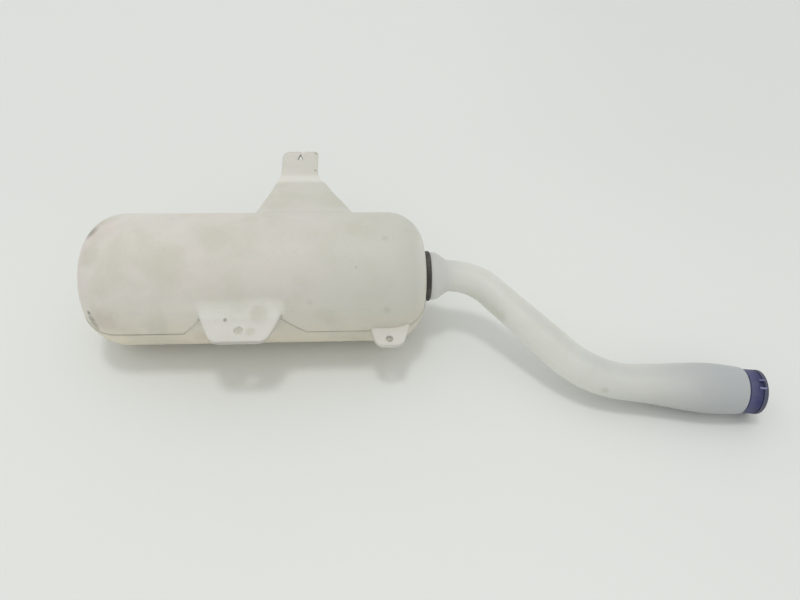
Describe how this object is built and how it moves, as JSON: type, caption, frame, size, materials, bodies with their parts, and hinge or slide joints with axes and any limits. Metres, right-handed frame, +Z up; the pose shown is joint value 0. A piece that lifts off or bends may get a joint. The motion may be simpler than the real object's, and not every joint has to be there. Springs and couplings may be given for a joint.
{
  "type": "washer fluid reservoir",
  "caption": "Blow-moulded cylindrical washer fluid tank lying on its side, with moulded mounting tabs, a rubber-ringed S-bent filler neck and a push-on cap.",
  "frame": {"origin": "bottom centre of the whole object's box, on the table it lies on", "axes": "+X along the barrel towards the filler neck, -Y towards the front with the lower tabs and the mouth, +Z up from the table"},
  "size_m": [0.6503, 0.3246, 0.13],
  "materials": {
    "milky_tank": "satin, aged and stained",
    "milky_neck": "satin, slightly cloudy",
    "rubber": "matt",
    "blue_cap": "worn gloss"
  },
  "bodies": {
    "reservoir": {"tank": "milky_tank", "neck_grommet": "rubber", "filler_neck": "milky_neck", "pump_grommet": "rubber"},
    "cap": {"filler_cap": "blue_cap", "cap_seal": "rubber"}
  },
  "joints": [
    {"name": "cap_pull", "type": "slide", "parent": "reservoir", "child": "cap", "axis": [0.9947, -0.0973, -0.0331], "range_m": [0, 0.05]}
  ]
}
